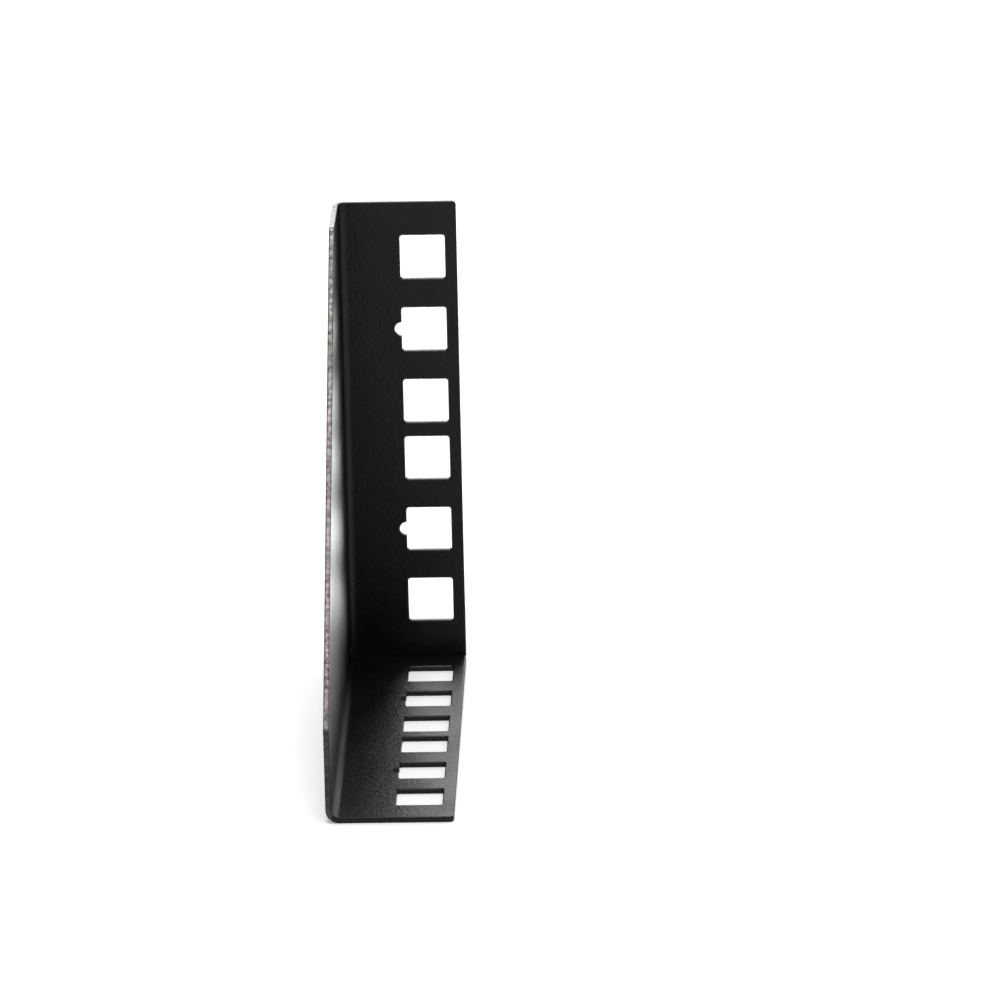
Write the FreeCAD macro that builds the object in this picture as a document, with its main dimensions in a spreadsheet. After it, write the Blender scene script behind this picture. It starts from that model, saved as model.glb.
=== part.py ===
import FreeCAD, Part
import math
import os
import Sketcher

# Wall mount rack bracket, folded from one steel sheet. A five-sided side plate stands upright. One
# flange is bent off its rear edge and one off its bottom edge, and both carry the square holes of
# two rack units. The flanges aren't joined where they meet: a narrow slit parts them, and a square
# relief at its end lets both bends be folded. A flat tab of the upright flange closes the relief
# at the rear.
#
# The sheet is drawn in a corner frame. X runs from the outer face of the side plate to the free
# edges of the flanges. Y is 0 on the outer face of the upright flange and falls towards the front.
# Z is 0 on the outer face of the base flange.

NODE = "rack_bracket"

SIZES = {
    # Sheet and bends
    "sheet_thickness": 1.2,
    "bend_radius": 1.6,  # inside radius
    "edge_radius": 0.3,  # rounding of the cut outline, paint included
    # Outline
    "flange_width": 26.0,  # outer face of the side plate to the free edge of a flange
    "plate_end": 20.0,  # straight edge left on the side plate at the end of each arm
    "corner_radius": 1.0,  # corners of the outline
    "corner_gap": 0.6,  # slit between the rear end of the base flange and the upright flange
    # Hole columns, in the rack standard's spacing
    "rack_units": 2,
    "rack_unit": 44.45,
    "hole_pitch": 15.875,
    "first_hole": 13.7,  # outer face of the other flange to the centre of the first hole
    "end_margin": 12.1,  # centre of the last hole to the end of the arm
    "hole_to_edge": 7.3,  # centre of a hole to the free edge of its flange
    "hole_width": 9.5,
    "hole_corner_radius": 0.6,
    "hole_edge_break": 0.2,  # chamfer on both rims of a hole
    "notch_radius": 1.5,  # half-round notch in the side of a unit's middle hole
}
HOLES_PER_UNIT = 3

# Formulas in the sizes of the sheet
BEND_SIZE = "(Sizes.sheet_thickness + Sizes.bend_radius)"
HOLE_LINE = "(Sizes.flange_width - Sizes.hole_to_edge)"
HALF_HOLE = "(Sizes.hole_width / 2)"
ARM_LENGTH = (
    f"(Sizes.first_hole + {HOLES_PER_UNIT - 1} * Sizes.hole_pitch"
    " + (Sizes.rack_units - 1) * Sizes.rack_unit + Sizes.end_margin)"
)
BASE_START = "(Sizes.sheet_thickness + Sizes.corner_gap)"

SHARP_ANGLE = math.radians(30)
TOLERANCE = 0.01


def make_size_sheet(document):
    """Put the driving dimensions into a spreadsheet, one named cell each."""
    sheet = document.addObject("Spreadsheet::Sheet", "Sizes")
    for row, (name, size) in enumerate(SIZES.items(), start=1):
        sheet.set(f"A{row}", str(size))
        sheet.setAlias(f"A{row}", name)
    document.recompute()
    return sheet


def origin_feature(body, role):
    """Find a plane or axis of the body's own origin."""
    return next(item for item in body.Origin.OriginFeatures if item.Role == role)


def add_sketch(body, name, plane, offset="0"):
    """Attach an empty sketch to an origin plane, moved along the plane's normal."""
    sketch = body.newObject("Sketcher::SketchObject", name)
    sketch.AttachmentSupport = [(origin_feature(body, plane), "")]
    sketch.MapMode = "FlatFace"
    sketch.setExpression("AttachmentOffset.Base.z", offset)
    return sketch


def constrain(sketch, formula, kind, *parts):
    """Add a dimension that follows a formula, and move the sketch to it."""
    index = sketch.addConstraint(Sketcher.Constraint(kind, *parts, 1.0))
    sketch.setExpression(f"Constraints[{index}]", formula)
    sketch.recompute()


def set_out_point(sketch, x, y):
    """Hold a construction point at a place that two formulas give."""
    point = sketch.addGeometry(Part.Point(FreeCAD.Vector(1, 1, 0)), True)
    constrain(sketch, x, "DistanceX", -1, 1, point, 1)
    constrain(sketch, y, "DistanceY", -1, 1, point, 1)
    return point


def draw_outline(sketch, corners):
    """Draw a closed outline through corners given as x, y and the name of a rounding, or None."""
    points = [set_out_point(sketch, x, y) for x, y, rounding in corners]
    places = [sketch.getPoint(point, 1) for point in points]
    count = len(corners)
    entries = []
    exits = []
    for index, (x, y, rounding) in enumerate(corners):
        place = places[index]
        towards_last = (places[index - 1] - place).normalize()
        towards_next = (places[(index + 1) % count] - place).normalize()
        radius = SIZES[rounding] if rounding else 0.0
        setback = radius / math.tan(towards_last.getAngle(towards_next) / 2)
        entries.append(place + towards_last * setback)
        exits.append(place + towards_next * setback)
    sides = [
        sketch.addGeometry(Part.LineSegment(exits[index], entries[(index + 1) % count]))
        for index in range(count)
    ]
    for index, (x, y, rounding) in enumerate(corners):
        before = sides[index - 1]
        after = sides[index]
        if not rounding:
            sketch.addConstraint(Sketcher.Constraint("Coincident", before, 2, points[index], 1))
            sketch.addConstraint(Sketcher.Constraint("Coincident", after, 1, points[index], 1))
            continue
        round_corner(sketch, before, after, points[index], entries[index], exits[index], rounding)


def round_corner(sketch, before, after, point, entry, leave, rounding):
    """Join two sides by an arc that touches both, with the corner point on both of their lines."""
    place = sketch.getPoint(point, 1)
    chord = (entry + leave) / 2 - place
    radius = SIZES[rounding]
    to_centre = math.hypot(radius, entry.distanceToPoint(place))
    middle = place + chord.normalize() * (to_centre - radius)
    arc = sketch.addGeometry(Part.Arc(entry, middle, leave))
    turns_left = (place - entry).cross(leave - place).z > 0
    first, last = (1, 2) if turns_left else (2, 1)
    sketch.addConstraint(Sketcher.Constraint("PointOnObject", point, 1, before))
    sketch.addConstraint(Sketcher.Constraint("PointOnObject", point, 1, after))
    sketch.addConstraint(Sketcher.Constraint("Tangent", before, 2, arc, first))
    sketch.addConstraint(Sketcher.Constraint("Tangent", after, 1, arc, last))
    constrain(sketch, f"Sizes.{rounding}", "Radius", arc)


def draw_bend(sketch, centre_y, start_angle):
    """Draw the quarter ring of a bend, around a centre on the inside of the fold."""
    centre = set_out_point(sketch, BEND_SIZE, centre_y)
    place = sketch.getPoint(centre, 1)
    arcs = []
    for radius, formula in (
        (SIZES["bend_radius"], "Sizes.bend_radius"),
        (SIZES["bend_radius"] + SIZES["sheet_thickness"], BEND_SIZE),
    ):
        circle = Part.Circle(place, FreeCAD.Vector(0, 0, 1), radius)
        arc = sketch.addGeometry(Part.ArcOfCircle(circle, start_angle, start_angle + math.pi / 2))
        sketch.addConstraint(Sketcher.Constraint("Coincident", arc, 3, centre, 1))
        constrain(sketch, formula, "Radius", arc)
        arcs.append(arc)
    inner, outer = arcs
    for end, angle in ((1, start_angle), (2, start_angle + math.pi / 2)):
        ends = Part.LineSegment(sketch.getPoint(inner, end), sketch.getPoint(outer, end))
        side = sketch.addGeometry(ends)
        direction = "Horizontal" if abs(math.cos(angle)) > 0.5 else "Vertical"
        sketch.addConstraint(Sketcher.Constraint("Coincident", side, 1, inner, end))
        sketch.addConstraint(Sketcher.Constraint("Coincident", side, 2, outer, end))
        sketch.addConstraint(Sketcher.Constraint("PointOnObject", centre, 1, side))
        sketch.addConstraint(Sketcher.Constraint(direction, side))


def add_pad(body, name, sketch, length):
    """Thicken a sketch along its normal."""
    pad = body.newObject("PartDesign::Pad", name)
    pad.Profile = sketch
    pad.setExpression("Length", length)
    body.Document.recompute()
    return pad


def add_pocket(body, name, sketch):
    """Cut a sketch through the sheet that lies on the side its normal points to."""
    volume_before = body.Shape.Volume
    pocket = body.newObject("PartDesign::Pocket", name)
    pocket.Profile = sketch
    pocket.Reversed = True
    pocket.setExpression("Length", "Sizes.sheet_thickness")
    body.Document.recompute()
    if body.Shape.Volume >= volume_before:
        raise RuntimeError(f"{name} cuts nothing")
    return pocket


def repeat_by_units(body, name, cuts, axis, forwards):
    """Repeat the cuts of one rack unit along an arm."""
    pattern = body.newObject("PartDesign::LinearPattern", name)
    pattern.Originals = cuts
    pattern.Direction = (origin_feature(body, axis), [""])
    pattern.Reversed = not forwards
    pattern.Mode = "Spacing"
    pattern.setExpression("Occurrences", "Sizes.rack_units")
    pattern.setExpression("Offset", "Sizes.rack_unit")
    body.Tip = pattern
    body.Document.recompute()


def build_side_plate(body):
    """Five-sided plate between the two bends, with a long slanted edge."""
    sketch = add_sketch(body, "side_plate_outline", "YZ_Plane")
    draw_outline(sketch, [
        (f"-{ARM_LENGTH}", BEND_SIZE, None),
        (f"-{BEND_SIZE}", BEND_SIZE, None),
        (f"-{BEND_SIZE}", ARM_LENGTH, None),
        ("-Sizes.plate_end", ARM_LENGTH, "corner_radius"),
        (f"-{ARM_LENGTH}", "Sizes.plate_end", "corner_radius"),
    ])
    add_pad(body, "side_plate", sketch, "Sizes.sheet_thickness")


def build_bend(body, name, plane, centre_y, start_angle):
    """Bend along one edge of the side plate, ending short of the other bend at the relief."""
    sketch = add_sketch(body, f"{name}_bend_section", plane, BEND_SIZE)
    draw_bend(sketch, centre_y, start_angle)
    add_pad(body, f"{name}_bend", sketch, f"{ARM_LENGTH} - {BEND_SIZE}")


def build_flange(body, name, plane, axis, sign, start):
    """Flat flange with its column of square holes, running along one arm from the corner."""
    outline = add_sketch(body, f"{name}_flange_outline", plane)
    draw_outline(outline, [
        (BEND_SIZE, f"{sign} * {start}", None),
        ("Sizes.flange_width", f"{sign} * {start}", "corner_radius"),
        ("Sizes.flange_width", f"{sign} * {ARM_LENGTH}", "corner_radius"),
        (BEND_SIZE, f"{sign} * {ARM_LENGTH}", None),
    ])
    add_pad(body, f"{name}_flange", outline, "Sizes.sheet_thickness")

    holes = build_holes(body, name, plane, sign)
    notch = build_notch(body, name, plane, sign)
    repeat_by_units(body, f"{name}_units", [holes, notch], axis, sign > 0)


def build_corner_tab(body):
    """Flat tab of the upright flange that runs across the relief, up to the end of the upright bend."""
    outline = add_sketch(body, "corner_tab_outline", "XZ_Plane")
    draw_outline(outline, [
        ("0", "0", None),
        (BEND_SIZE, "0", None),
        (BEND_SIZE, BEND_SIZE, None),
        ("0", BEND_SIZE, None),
    ])
    add_pad(body, "corner_tab", outline, "Sizes.sheet_thickness")


def build_holes(body, name, plane, sign):
    """Square holes of the rack unit next to the corner."""
    sketch = add_sketch(body, f"{name}_hole_outlines", plane)
    left = f"{HOLE_LINE} - {HALF_HOLE}"
    right = f"{HOLE_LINE} + {HALF_HOLE}"
    for step in range(HOLES_PER_UNIT):
        centre = f"(Sizes.first_hole + {step} * Sizes.hole_pitch)"
        near = f"{sign} * ({centre} - {HALF_HOLE})"
        far = f"{sign} * ({centre} + {HALF_HOLE})"
        draw_outline(sketch, [
            (left, near, "hole_corner_radius"),
            (right, near, "hole_corner_radius"),
            (right, far, "hole_corner_radius"),
            (left, far, "hole_corner_radius"),
        ])
    return add_pocket(body, f"{name}_holes", sketch)


def build_notch(body, name, plane, sign):
    """Half-round notch in the middle hole, on the side towards the bend."""
    sketch = add_sketch(body, f"{name}_notch_outline", plane)
    middle_hole = f"{sign} * (Sizes.first_hole + Sizes.hole_pitch)"
    centre = set_out_point(sketch, f"{HOLE_LINE} - {HALF_HOLE}", middle_hole)
    circle = Part.Circle(sketch.getPoint(centre, 1), FreeCAD.Vector(0, 0, 1), SIZES["notch_radius"])
    rim = sketch.addGeometry(circle)
    sketch.addConstraint(Sketcher.Constraint("Coincident", rim, 3, centre, 1))
    constrain(sketch, "Sizes.notch_radius", "Radius", rim)
    return add_pocket(body, f"{name}_notch", sketch)


def edge_names(shape, wanted):
    """Name the edges that a test picks."""
    return [f"Edge{index}" for index, edge in enumerate(shape.Edges, start=1) if wanted(edge)]


def is_sharp(shape, edge):
    """Tell an edge between two faces at an angle from one where a face runs on smoothly."""
    middle = edge.valueAt((edge.FirstParameter + edge.LastParameter) / 2)
    faces = shape.ancestorsOfType(edge, Part.Face)
    first, second = (face.normalAt(*face.Surface.parameter(middle)) for face in faces)
    return first.getAngle(second) > SHARP_ANGLE


def is_hole_rim(shape, edge):
    """Tell an edge round a hole: it lies on an inner wire of a flange's face."""
    return any(
        not wire.isSame(face.OuterWire) and any(edge.isSame(rim) for rim in wire.Edges)
        for face in shape.ancestorsOfType(edge, Part.Face)
        for wire in face.Wires
    )


def break_hole_edges(body):
    """Take the sharpness off both rims of every hole."""
    base = body.Tip
    chamfer = body.newObject("PartDesign::Chamfer", "hole_edges")
    chamfer.Base = (base, edge_names(base.Shape, lambda edge: is_hole_rim(base.Shape, edge)))
    chamfer.setExpression("Size", "Sizes.hole_edge_break")
    body.Document.recompute()


def round_outline_edges(body):
    """Round both edges of the sheet's cut outline, apart from those in the small relief."""
    base = body.Tip
    shape = base.Shape
    thickness = SIZES["sheet_thickness"]
    relief_size = thickness + SIZES["bend_radius"]
    relief = FreeCAD.BoundBox(0, -relief_size, 0, relief_size, 0, relief_size)
    relief.enlarge(TOLERANCE)

    def is_outline(edge):
        if edge.Length < thickness + TOLERANCE or relief.isInside(edge.BoundBox):
            return False
        return is_sharp(shape, edge) and not is_hole_rim(shape, edge)

    fillet = body.newObject("PartDesign::Fillet", "outline_edges")
    fillet.Base = (base, edge_names(shape, is_outline))
    fillet.setExpression("Radius", "Sizes.edge_radius")
    body.Document.recompute()


def build_bracket(document):
    """Fold the whole bracket and stand it on its base flange, centred over the origin."""
    body = document.addObject("PartDesign::Body", NODE)
    body.Label = NODE
    build_side_plate(body)
    build_bend(body, "upright", "XY_Plane", f"-{BEND_SIZE}", math.pi / 2)
    build_bend(body, "base", "XZ_Plane", BEND_SIZE, math.pi)
    build_flange(body, "upright", "XZ_Plane", "Z_Axis", 1, "0")
    build_flange(body, "base", "XY_Plane", "Y_Axis", -1, BASE_START)
    build_corner_tab(body)
    round_outline_edges(body)
    break_hole_edges(body)
    body.setExpression("Placement.Base.x", "-Sizes.flange_width / 2")
    body.setExpression("Placement.Base.y", f"{ARM_LENGTH} / 2")
    document.recompute()
    return body


def check(document, body):
    """Stop unless every object was computed and the bracket is one sound solid."""
    for item in document.Objects:
        if "Invalid" in item.State or "Error" in item.State:
            raise RuntimeError(f"{item.Name} failed: {item.State}")
    shape = body.Shape
    if shape.isNull() or not shape.isValid() or len(shape.Solids) != 1:
        raise RuntimeError(f"{body.Label} isn't one sound solid")


document = FreeCAD.newDocument("wall_mount_rack_bracket")
make_size_sheet(document)
bracket = build_bracket(document)
check(document, bracket)
os.makedirs("parts", exist_ok=True)
bracket.Shape.exportStep(f"parts/{bracket.Label}.step")
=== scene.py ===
import math

import bpy
from mathutils import Matrix, Vector


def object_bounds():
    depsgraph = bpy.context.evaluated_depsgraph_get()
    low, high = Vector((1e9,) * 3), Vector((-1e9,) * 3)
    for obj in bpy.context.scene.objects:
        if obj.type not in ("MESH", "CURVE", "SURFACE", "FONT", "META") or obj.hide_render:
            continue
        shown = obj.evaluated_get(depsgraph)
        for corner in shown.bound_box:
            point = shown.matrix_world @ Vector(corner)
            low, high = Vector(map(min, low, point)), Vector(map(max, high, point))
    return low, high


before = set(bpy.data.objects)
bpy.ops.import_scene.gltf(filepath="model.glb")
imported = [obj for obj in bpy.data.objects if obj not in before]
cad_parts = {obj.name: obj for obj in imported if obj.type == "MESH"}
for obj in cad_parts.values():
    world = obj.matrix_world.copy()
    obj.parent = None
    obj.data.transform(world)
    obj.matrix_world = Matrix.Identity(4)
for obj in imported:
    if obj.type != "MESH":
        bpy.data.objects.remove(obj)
cad_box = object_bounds()
centre = (cad_box[0] + cad_box[1]) / 2

MM = 0.001
UP = Vector((0.0, 0.0, 1.0))
WHITE = (1.0, 1.0, 1.0, 1.0)

# The camera aims to the right of the bracket, so that the bracket stands left of the picture's middle
AIM_RIGHT = 22.31 * MM
AIM_UP = 0.86 * MM
CAMERA_DISTANCE = 1580.8 * MM
CAMERA_AZIMUTH = math.radians(1.563)
CAMERA_ELEVATION = math.radians(17.881)
CAMERA_ROLL = math.radians(-1.244)
LENS = 275.77

# The coat is near-black pigment in a clear satin binder; broad clouds vary its colour and roughness
COAT_DARK = (0.0012, 0.0012, 0.0013, 1.0)
COAT_LIGHT = (0.004, 0.004, 0.0042, 1.0)
COAT_IOR = 1.32
CLOUDS = {"size": 18.0 * MM, "detail": 4.0}
CLOUD_NOISE_SPAN = (0.3, 0.7)
ROUGHNESS_SPAN = (0.33, 0.45)
PEEL = {"size": 1.2 * MM, "detail": 1.0}
PEEL_HEIGHT = 0.04 * MM
GRAIN = {"size": 0.45 * MM, "detail": 2.0}
GRAIN_HEIGHT = 0.07 * MM

# The side plate's cut edge shows flecks of bare steel, more where it faces up than where it faces
# forward: partly wear, partly a painted highlight of the light from above
SHEET = 1.2 * MM
EDGE_FADE = 0.1 * MM
WEAR_AND_HIGHLIGHT_DIRECTION = (0.0, -0.5, 1.0)
WEAR_AND_HIGHLIGHT_FACING_SPAN = (0.4, 0.7)
BARE_STEEL_AND_HIGHLIGHT = (0.42, 0.385, 0.355, 1.0)
FLECKS = {"size": 1.0 * MM, "detail": 2.0}
FLECK_NOISE_SPAN = (0.35, 0.65)
STEEL_AND_HIGHLIGHT_SHARE = (0.15, 0.55)

# The studio is a white table that runs into low white walls, and above them the room is dim in front and
# white behind; one lamp is overhead, a soft box stands behind, and a panel in the table behind shines up
FLOOR_SIZE = 6.0
FLOOR_COLOR = (0.9, 0.9, 0.9, 1.0)
FLOOR_ROUGHNESS = 0.9
LIFT_DISTANCES = (0.35, 1.2)
LIFT_LEVELS = (0.2, 0.7)
ROOM_FADE = (-0.3, 0.3)
ROOM_LEVELS = (0.05, 1.0)
WALL_FADE = (0.07, 0.2)
WALL_LEVEL = 1.0
LAMPS = {
    "top_lamp": {"place": (0.0, -0.18, 0.7), "size": (0.3, 0.3), "level": 10.0},
    "rear_lamp": {"place": (-0.05, 0.72, 0.32), "size": (0.38, 0.64), "level": 3.6},
    "table_lamp": {"place": (0.05, 0.33, 0.002), "size": (0.3, 0.5), "level": 7.0, "faces_up": True},
}


def add_node(tree, kind, **values):
    """Adds a node and sets the values of its unlinked inputs."""
    node = tree.nodes.new(kind)
    for name, value in values.items():
        node.inputs[name.replace("_", " ")].default_value = value
    return node


def add_coords(tree):
    """The coordinates and normals of what is shaded, by name."""
    return add_node(tree, "ShaderNodeTexCoord").outputs


def add_noise(tree, place, size, detail):
    """A noise pattern whose spots are about as large as the size given."""
    noise = add_node(tree, "ShaderNodeTexNoise", Scale=1.0 / size, Detail=detail)
    tree.links.new(place, noise.inputs["Vector"])
    return noise.outputs["Fac"]


def add_ramp(tree, factor, low, high):
    """Fades from the low colour to the high one as the pattern goes from 0 to 1."""
    ramp = add_node(tree, "ShaderNodeValToRGB")
    for element, color in zip(ramp.color_ramp.elements, (low, high)):
        element.color = color
    tree.links.new(factor, ramp.inputs["Fac"])
    return ramp.outputs["Color"]


def add_range(tree, value, source, target):
    """Maps a value from one span to another, and holds it within that one."""
    mapped = add_node(
        tree,
        "ShaderNodeMapRange",
        From_Min=source[0],
        From_Max=source[1],
        To_Min=target[0],
        To_Max=target[1],
    )
    tree.links.new(value, mapped.inputs["Value"])
    return mapped.outputs["Result"]


def add_math(tree, operation, first, second):
    """Joins two values by one operation."""
    joined = add_node(tree, "ShaderNodeMath")
    joined.operation = operation
    tree.links.new(first, joined.inputs[0])
    tree.links.new(second, joined.inputs[1])
    return joined.outputs["Value"]


def add_vector_math(tree, operation, vector, fixed=(0.0, 0.0, 0.0)):
    """A number worked out from a vector and, where the operation takes two, a fixed one."""
    number = add_node(tree, "ShaderNodeVectorMath")
    number.operation = operation
    number.inputs[1].default_value = fixed
    tree.links.new(vector, number.inputs[0])
    return number.outputs["Value"]


def add_bump(tree, height, distance, normal=None):
    """Turns a height pattern into a normal, on top of a coarser one if there is one."""
    bump = add_node(tree, "ShaderNodeBump", Distance=distance)
    tree.links.new(height, bump.inputs["Height"])
    if normal:
        tree.links.new(normal, bump.inputs["Normal"])
    return bump.outputs["Normal"]


def add_split(tree, vector):
    """The three parts of a place or direction."""
    parts = add_node(tree, "ShaderNodeSeparateXYZ")
    tree.links.new(vector, parts.inputs["Vector"])
    return parts.outputs


def new_material(name):
    """A new material, with its node tree and its shader."""
    material = bpy.data.materials.new(name)
    material.use_nodes = True
    tree = material.node_tree
    return material, tree, tree.nodes["Principled BSDF"]


def add_cut_edge_wear_and_highlight(tree, outer_x):
    """The side plate's cut edge as steel wear and painted highlight: 1 where it faces up, less where it
    faces forward, else 0.
    """
    coords = add_coords(tree)
    inner_x = outer_x + SHEET
    across = add_split(tree, coords["Object"])["X"]
    in_plate = add_range(tree, across, (inner_x, inner_x + EDGE_FADE), (1.0, 0.0))
    facing = add_vector_math(tree, "DOT_PRODUCT", coords["Normal"], WEAR_AND_HIGHLIGHT_DIRECTION)
    # Facing up lets in more steel: a painted highlight of the light from above, on top of the wear
    facing_wear_and_highlight = add_range(tree, facing, WEAR_AND_HIGHLIGHT_FACING_SPAN, (0.0, 1.0))
    return add_math(tree, "MULTIPLY", in_plate, facing_wear_and_highlight)


def make_powder_coat(outer_x):
    """Satin black powder coat with a faint orange peel, a fine grain and a flecked cut edge that is
    partly a painted highlight.
    """
    material, tree, shader = new_material("black_powder_coat")
    shader.inputs["IOR"].default_value = COAT_IOR
    place = add_coords(tree)["Object"]

    clouds = add_noise(tree, place, **CLOUDS)
    flecks = add_range(tree, add_noise(tree, place, **FLECKS), FLECK_NOISE_SPAN, STEEL_AND_HIGHLIGHT_SHARE)
    # Steel flecks on the cut edge, set by which way it faces: partly wear, partly a painted highlight
    edge_steel_and_highlight = add_math(tree, "MULTIPLY", add_cut_edge_wear_and_highlight(tree, outer_x), flecks)
    color = add_node(tree, "ShaderNodeMixRGB", Color2=BARE_STEEL_AND_HIGHLIGHT)
    tree.links.new(edge_steel_and_highlight, color.inputs["Fac"])
    tree.links.new(add_ramp(tree, clouds, COAT_DARK, COAT_LIGHT), color.inputs["Color1"])
    tree.links.new(color.outputs["Color"], shader.inputs["Base Color"])
    tree.links.new(edge_steel_and_highlight, shader.inputs["Metallic"])

    roughness = add_range(tree, clouds, CLOUD_NOISE_SPAN, ROUGHNESS_SPAN)
    tree.links.new(roughness, shader.inputs["Roughness"])

    peel = add_bump(tree, add_noise(tree, place, **PEEL), PEEL_HEIGHT)
    grain = add_bump(tree, add_noise(tree, place, **GRAIN), GRAIN_HEIGHT, peel)
    tree.links.new(grain, shader.inputs["Normal"])
    return material


def add_seen(tree):
    """1 on rays from the camera and on mirrored or refracted ones, and 0 on the rest."""
    path = add_node(tree, "ShaderNodeLightPath").outputs
    seen = path["Is Camera Ray"]
    for kind in ("Is Glossy Ray", "Is Transmission Ray"):
        seen = add_math(tree, "MAXIMUM", seen, path[kind])
    return seen


def make_white_table():
    """White table that keeps the shadow and, where it is seen, is lifted into plain white far off."""
    material, tree, shader = new_material("white_table")
    shader.inputs["Base Color"].default_value = FLOOR_COLOR
    shader.inputs["Roughness"].default_value = FLOOR_ROUGHNESS
    shader.inputs["Emission Color"].default_value = WHITE
    distance = add_vector_math(tree, "LENGTH", add_coords(tree)["Object"])
    lift = add_range(tree, distance, LIFT_DISTANCES, LIFT_LEVELS)
    tree.links.new(add_math(tree, "MULTIPLY", add_seen(tree), lift), shader.inputs["Emission Strength"])
    return material


def make_floor():
    """The table's top, level with the bracket's underside."""
    bpy.ops.mesh.primitive_plane_add(size=FLOOR_SIZE)
    floor = bpy.context.object
    floor.name = "floor"
    floor.data.materials.append(make_white_table())


def light_room():
    """A room that is dim in front and white behind, with a white wall all round that fades upwards."""
    world = bpy.data.worlds.new("studio")
    bpy.context.scene.world = world
    world.use_nodes = True
    tree = world.node_tree
    background = tree.nodes["Background"]
    background.inputs["Color"].default_value = WHITE
    direction = add_split(tree, add_coords(tree)["Generated"])
    room = add_range(tree, direction["Y"], ROOM_FADE, ROOM_LEVELS)
    wall = add_range(tree, direction["Z"], WALL_FADE, (WALL_LEVEL, 0.0))
    tree.links.new(add_math(tree, "MAXIMUM", room, wall), background.inputs["Strength"])


def add_lamp(name, target, place, size, level, faces_up=False):
    """A soft lamp that faces the target or straight up, unseen by the camera; level 1 is white."""
    light = bpy.data.lights.new(name, "AREA")
    light.shape = "RECTANGLE"
    light.size, light.size_y = size
    light.energy = level * math.pi * light.size * light.size_y
    lamp = bpy.data.objects.new(name, light)
    lamp.location = place
    lamp.rotation_mode = "QUATERNION"
    direction = UP if faces_up else target - lamp.location
    lamp.rotation_quaternion = direction.to_track_quat("-Z", "Y")
    lamp.visible_camera = False
    bpy.context.scene.collection.objects.link(lamp)


def place_camera(target):
    """A camera that stands back from a point beside the target, and is rolled about its line of sight."""
    camera = bpy.data.objects.new("camera", bpy.data.cameras.new("camera"))
    camera.data.lens = LENS
    bpy.context.scene.collection.objects.link(camera)
    bpy.context.scene.camera = camera
    turn = Matrix.Rotation(CAMERA_AZIMUTH, 4, "Z")
    tilt = Matrix.Rotation(math.pi / 2 - CAMERA_ELEVATION, 4, "X")
    roll = Matrix.Rotation(CAMERA_ROLL, 4, "Z")
    rotation = turn @ tilt @ roll
    aim = target + Vector((AIM_RIGHT, 0.0, AIM_UP))
    back = rotation @ Vector((0.0, 0.0, CAMERA_DISTANCE))
    camera.matrix_world = Matrix.Translation(aim + back) @ rotation


coat = make_powder_coat(outer_x=cad_box[0].x)
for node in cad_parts.values():
    for slot in node.material_slots:
        slot.material = coat

make_floor()
light_room()
for name, lamp in LAMPS.items():
    add_lamp(name, centre, **lamp)
place_camera(centre)
bpy.context.scene.view_settings.view_transform = "Standard"
